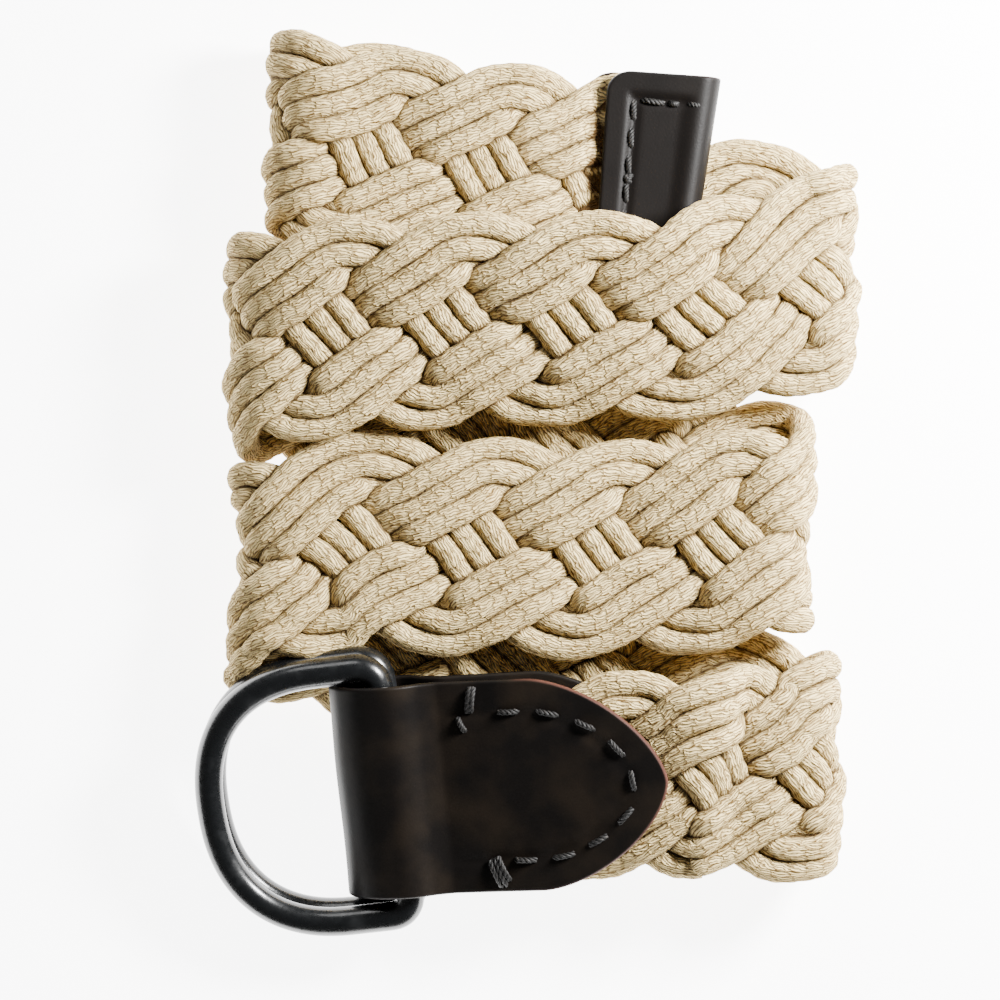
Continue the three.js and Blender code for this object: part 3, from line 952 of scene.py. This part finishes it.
# Tacks over the tab's seam: the side, then x and the distance from the edge of both ends
tabTacks = [
    (1, 19.6, 1.4, 18.4, 7.2),
    (1, 20.4, 1.4, 19.3, 7.0),
    (1, 16.2, 8.2, 17.6, 11.4),
    (-1, 21.6, 7.8, 24.0, 1.4),
    (-1, 20.6, 7.4, 22.8, 1.2),
    (-1, 22.4, 8.2, 24.8, 2.6),
]
# On the cap: the line along its upper side and the two tacks that cross, both ends of each
capRow = [((7.6, 18.6), (12.2, 18.2)), ((13.4, 18.3), (15.2, 18.2)), ((17.3, 18.4), (20.4, 18.2))]
capTacks = [((5.2, 1.6), (6.6, -0.2)), ((6.8, 1.8), (5.6, -0.4))]


def threadFinish(start):
    place = start.node("TexCoord", (), (), 3)
    fleck = start.node("TexNoise", (), {"Vector": place, "Scale": 1500.0, "Detail": 4.0})
    # lint and painted glint: pale flecks for lint and for light caught on the waxed thread
    lintAndGlintShare = ((fleck - 0.56) * 5).clamped() * 0.6
    bump = start.node("Bump", (), {"Height": fleck, "Strength": 0.8, "Distance": 0.00008})
    return {
        "Base Color": lintAndGlintShare.colours(thread["black"], thread["lintAndGlint"]),
        "Roughness": 0.5 + 0.3 * fleck,
        "Normal": bump,
    }


def stitching(name, runs, skinAt, shape, matrix, material):
    count, sides = 17, 8
    share = np.linspace(0, 1, count)
    each = thread["radius"] / thread["plies"] ** 0.5
    section = np.broadcast_to(disc(each, sides), (count, sides, 2))
    points, faces = [], []
    for start, end in runs:
        flat = mixed(np.array(start, float)[None], np.array(end, float)[None], share[:, None])
        aside = unit(np.array([start[1] - end[1], end[0] - start[0]], float))
        arc = np.sin(math.pi * share) ** 0.6
        for ply in range(thread["plies"]):
            angle = 2 * math.pi * (thread["twist"] * share + ply / thread["plies"]) + start[0]
            place = flat + each * np.cos(angle)[:, None] * aside
            middle = skinAt(place[:, 0]) - thread["sink"] * (1 - arc) + thread["lift"] * arc
            line = np.column_stack([place, middle + each * np.sin(angle)])
            tube = swept(line, np.array([0, 0, 1.0]), section)
            faces += (ringFaces(count, sides) + len(points) * count * sides).tolist()
            points.append(tube.reshape(-1, 3))
    grid = placed(shape(np.concatenate(points)), matrix) + coilMiddle
    return meshPiece(name, grid, faces, (), material, "belt")


def tabRuns():
    marks = np.linspace(0, 1, 400)
    reach = tab["point"] + tabStraight - tabLook["stitchInset"]
    width = tab["width"] / 2 - tabLook["stitchInset"]
    start = tab["barToSeam"] + tabLook["stitchFrom"]
    x = start + (reach - start) * np.sin(math.pi / 2 * marks) ** 0.9
    beyond = np.clip((x - tabStraight + 2) / (reach - tabStraight + 2), 0, 1)
    y = width * (1 - beyond ** 1.9) ** (1 / 1.9)
    line = np.concatenate([np.stack([x, y], -1), np.stack([x, -y], -1)[::-1]])
    length = lengthAlong(line)
    runs = []
    for place in np.arange(1.5, length[-1] - tabLook["stitchLength"] + 1, tabLook["stitchPitch"]):
        ends = pointsAt((place, place + tabLook["stitchLength"]), length, line)
        runs.append(ends + rng.normal(0, tabLook["uneven"], (2, 2)))
    edge = tab["width"] / 2
    for side, startX, startInset, endX, endInset in tabTacks:
        runs.append(((startX, side * (edge - startInset)), (endX, side * (edge - endInset))))
    return runs


def capRuns():
    column = [((5.8, y), (6.1, y - 4.3)) for y in np.arange(18.4, -20, -6.2)]
    return column + capRow + capTacks


waxedThread = finish("waxed thread", threadFinish, Specular_IOR_Level=0.4)
stitching(
    "tab_stitches", tabRuns(), lambda x: flapRise(x) + tab["leather"] / 2, tabTrim, tabSeat, waxedThread
)
stitching(
    "cap_stitches", capRuns(), lambda x: 0 * x + capHalf - capLook["recess"], capTrim, capFrame, waxedThread
)
print("stitches made")


# D-rings
enamel = dict(black=(0.0035, 0.004, 0.0045, 1), worn=(0.014, 0.015, 0.016, 1))


def ringFinish(start):
    place = start.node("TexCoord", (), (), 3)
    mottle = start.node("TexNoise", (), {"Vector": place, "Scale": 900.0, "Detail": 4.0})
    wear = start.node("TexNoise", (), {"Vector": place, "Scale": 140.0, "Detail": 5.0})
    rubbed = ((wear - 0.56) * 6).clamped()
    bump = start.node("Bump", (), {"Height": mottle, "Strength": 0.5, "Distance": 0.00005})
    return {
        "Base Color": (rubbed * 0.5).colours(enamel["black"], enamel["worn"]),
        "Roughness": 0.2 + 0.16 * mottle + 0.12 * rubbed,
        "Normal": bump,
    }


def ringPath():
    halfWidth = (rings["innerWidth"] + rings["wire"]) / 2
    barHalf = halfWidth - rings["corner"]
    bow = rings["innerDepth"] + rings["wire"] - rings["corner"] - rings["arm"]
    quarter = np.linspace(0, math.pi / 2, 24)
    turn = np.stack(
        [-rings["corner"] * (1 - np.cos(quarter)), barHalf + rings["corner"] * np.sin(quarter)], -1
    )
    angle = np.linspace(0, math.pi, 240)
    reach = np.abs(np.sin(angle)) ** (2 / rings["squareness"])
    aside = np.abs(np.cos(angle)) ** (2 / rings["squareness"]) * np.sign(np.cos(angle))
    arch = np.stack([-rings["corner"] - rings["arm"] - bow * reach, halfWidth * aside], -1)
    outline = np.concatenate([turn, arch, (turn * [1, -1])[::-1], turn[:1]])
    length = lengthAlong(outline)
    even = np.linspace(0, length[-1], 241)[:-1]
    path = pointsAt(even, length, outline)
    for _ in range(3):
        path = (np.roll(path, 1, 0) + 2 * path + np.roll(path, -1, 0)) / 4
    return path


def ringPiece(name, side, body, node, material):
    path = ringPath()
    path = np.column_stack([path, np.full(len(path), side * ringStep / 2)])
    sides = 24
    section = np.broadcast_to(disc(rings["wire"] / 2, sides), (len(path), sides, 2))
    grid = swept(path, np.array([0, 0, 1.0]), section, closed=True)
    points = placed(grid.reshape(-1, 3), ringSeat) + coilMiddle
    faces = ringFaces(len(path), sides, closed=True)
    return meshPiece(name, points, faces.tolist(), (), material, body, [node])


blackEnamel = finish("black enamel", ringFinish, Specular_IOR_Level=0.5, Coat_Weight=0.2, Coat_Roughness=0.1)
ringPiece("d_ring_upper", 1, "upper_ring", "ring_upper", blackEnamel)
ringPiece("d_ring_lower", -1, "lower_ring", "ring_lower", blackEnamel)
print("rings made")


# Stage: pale floor, soft key light from the right, camera straight above
studio = dict(
    floor=(0.92, 0.92, 0.92, 1),
    floorGlow=8.0,
    world=(1.0, 0.98, 0.95, 1),
    worldStrength=0.1,
    keyPlace=(0.31, 0.17, 0.27),
    keySize=0.14,
    keyPower=13,
    fillPlace=(-0.3, 0.75, 0.6),
    fillSize=0.4,
    fillPower=2.4,
    cameraHeight=1.2,
    viewWidth=0.225,
    viewMiddle=(-0.006975, -0.003298),
    viewLevel=0.02,
)


def floorFinish(start):
    place = start.node("TexCoord", (), (), 3)
    haze = start.node("TexNoise", (), {"Vector": place, "Scale": 4.0, "Detail": 2.0})
    return {"Roughness": 0.8 + 0.1 * haze}


floorMesh = bpy.data.meshes.new("floor")
floorMesh.from_pydata([(-2, -2, 0), (2, -2, 0), (2, 2, 0), (-2, 2, 0)], [], [(0, 1, 2, 3)])
floorMaterial = finish(
    "pale floor",
    floorFinish,
    Base_Color=studio["floor"],
    Emission_Color=studio["floor"],
    Emission_Strength=studio["floorGlow"],
)
floorMesh.materials.append(floorMaterial)
floor = bpy.data.objects.new("floor", floorMesh)
bpy.context.collection.objects.link(floor)


def areaLight(name, place, size, power):
    lamp = bpy.data.lights.new(name, "AREA")
    lamp.shape, lamp.size, lamp.energy = "DISK", size, power
    light = bpy.data.objects.new(name, lamp)
    light.location = place
    light.rotation_euler = (-Vector(place)).to_track_quat("-Z", "Y").to_euler()
    bpy.context.collection.objects.link(light)


areaLight("key", studio["keyPlace"], studio["keySize"], studio["keyPower"])
areaLight("fill", studio["fillPlace"], studio["fillSize"], studio["fillPower"])
world = bpy.data.worlds.new("studio")
world.use_nodes = True
world.node_tree.nodes["Background"].inputs["Color"].default_value = studio["world"]
world.node_tree.nodes["Background"].inputs["Strength"].default_value = studio["worldStrength"]
bpy.context.scene.world = world

lens = bpy.data.cameras.new("camera")
lens.lens = 36 * (studio["cameraHeight"] - studio["viewLevel"]) / studio["viewWidth"]
camera = bpy.data.objects.new("camera", lens)
camera.location = (*studio["viewMiddle"], studio["cameraHeight"])
bpy.context.collection.objects.link(camera)
bpy.context.scene.camera = camera
print("stage made")
